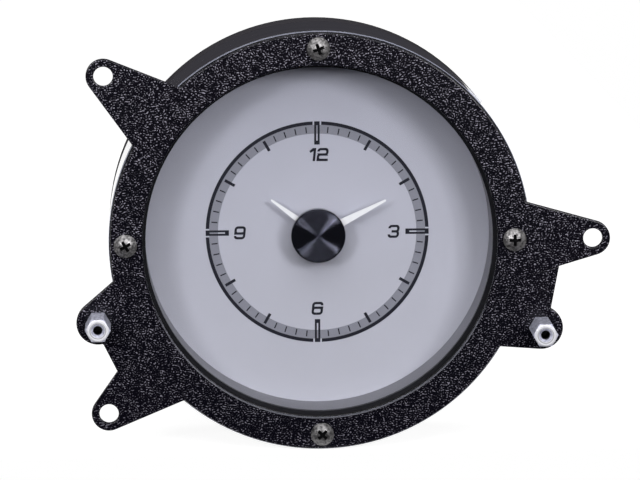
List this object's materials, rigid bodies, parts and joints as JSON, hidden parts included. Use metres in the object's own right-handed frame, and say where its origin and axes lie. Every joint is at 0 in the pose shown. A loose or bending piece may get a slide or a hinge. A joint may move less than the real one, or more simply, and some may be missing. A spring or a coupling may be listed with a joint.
{
  "type": "car clock",
  "caption": "Round analog car clock with a sunken silver dial, two white hands and a black can, held by an eared wrinkle-black bracket with hex standoffs.",
  "frame": {"origin": "centre of the bracket's face opening, on the bracket's front face", "axes": "the dial faces -Y, 12 o'clock is +Z, +X is the viewer's right"},
  "size_m": [0.1541, 0.0637, 0.1216],
  "materials": {
    "wrinkle_black": "black wrinkle powder coat",
    "zinc_plate": "bright zinc plate",
    "dark_steel": "dark stainless",
    "clear_lens": "clear acrylic",
    "gasket_rubber": "plain black rubber",
    "bezel_black": "satin black moulding",
    "reflector_grey": "satin grey moulding",
    "dial_silver": "satin silver print",
    "band_grey": "grey print",
    "print_dark": "dark slate print",
    "hand_white": "white paint",
    "cap_black": "black anodised, turned",
    "brass": "drawn brass",
    "bright_steel": "turned steel",
    "magnet_dark": "sintered magnet",
    "silicon_steel": "stamped lamination",
    "moulding_black": "black nylon",
    "copper_wire": "enamelled copper wire",
    "guide_clear": "frosted clear acrylic",
    "board_green": "solder mask",
    "lamp_white": "white lamp case",
    "chip_black": "moulded epoxy",
    "can_metal": "drawn metal can",
    "button_grey": "grey nylon",
    "can_black": "satin black moulding",
    "terminal_green": "green nylon"
  },
  "bodies": {
    "case": {"mounting_bracket": "wrinkle_black", "standoff_left": "zinc_plate", "standoff_right": "zinc_plate", "standoff_screws": "zinc_plate", "bracket_screws": "dark_steel", "lens": "clear_lens", "lens_gasket": "gasket_rubber", "front_bezel": "bezel_black", "reflector_ring": "reflector_grey", "dial_plate": "dial_silver", "minute_band": "band_grey", "dial_marks": "print_dark", "dial_numerals": "print_dark", "bush_nut": "brass", "centre_bush": "brass", "stator": "silicon_steel", "coil_core": "silicon_steel", "coil_bobbin": "moulding_black", "coil_winding": "copper_wire", "movement_front_plate": "brass", "movement_back_plate": "brass", "movement_pillars": "bright_steel", "movement_screws": "bright_steel", "light_guide": "guide_clear", "circuit_board": "board_green", "backlight_leds": "lamp_white", "controller_chip": "chip_black", "timing_crystal": "can_metal", "filter_capacitor": "can_metal", "board_screws": "bright_steel", "set_switches": "moulding_black", "housing_can": "can_black", "rear_cover": "can_black", "cover_screws": "dark_steel", "terminal_block": "terminal_green", "terminal_screws": "bright_steel"},
    "minute_train": {"minute_arbor": "bright_steel", "minute_wheel": "brass", "minute_hand": "hand_white", "hub_cap": "cap_black"},
    "hour_train": {"hour_wheel": "brass", "hour_hand": "hand_white"},
    "motion_gear": {"motion_wheel": "brass"},
    "third_gear": {"third_wheel": "brass"},
    "rotor": {"rotor_arbor": "bright_steel", "rotor_magnet": "magnet_dark"},
    "hour_button": {"hour_button": "button_grey"},
    "minute_button": {"minute_button": "button_grey"}
  },
  "joints": [
    {"name": "minute_spin", "type": "hinge", "parent": "case", "child": "minute_train", "pos_m": [0, 0, 0], "axis": [0, 1, 0], "continuous": true},
    {"name": "hour_spin", "type": "hinge", "parent": "case", "child": "hour_train", "pos_m": [0, 0, 0], "axis": [0, 1, 0], "continuous": true},
    {"name": "motion_spin", "type": "hinge", "parent": "case", "child": "motion_gear", "pos_m": [0, 0, 0.009], "axis": [0, 1, 0], "continuous": true},
    {"name": "third_spin", "type": "hinge", "parent": "case", "child": "third_gear", "pos_m": [0.0078, 0, -0.00451], "axis": [0, 1, 0], "continuous": true},
    {"name": "rotor_spin", "type": "hinge", "parent": "case", "child": "rotor", "pos_m": [0.01118, 0, -0.01035], "axis": [0, 1, 0], "continuous": true},
    {"name": "hour_button_press", "type": "slide", "parent": "case", "child": "hour_button", "axis": [0, -1, 0], "range_m": [0, 0.0008], "stiffness_N_per_m": 400, "springref_m": -0.001},
    {"name": "minute_button_press", "type": "slide", "parent": "case", "child": "minute_button", "axis": [0, -1, 0], "range_m": [0, 0.0008], "stiffness_N_per_m": 400, "springref_m": -0.001}
  ],
  "couplings": [
    {"joint": "hour_spin", "follows": "minute_spin", "ratio": 0.083333},
    {"joint": "motion_spin", "follows": "minute_spin", "ratio": -0.33333},
    {"joint": "third_spin", "follows": "minute_spin", "ratio": -7.5},
    {"joint": "rotor_spin", "follows": "minute_spin", "ratio": 30}
  ]
}
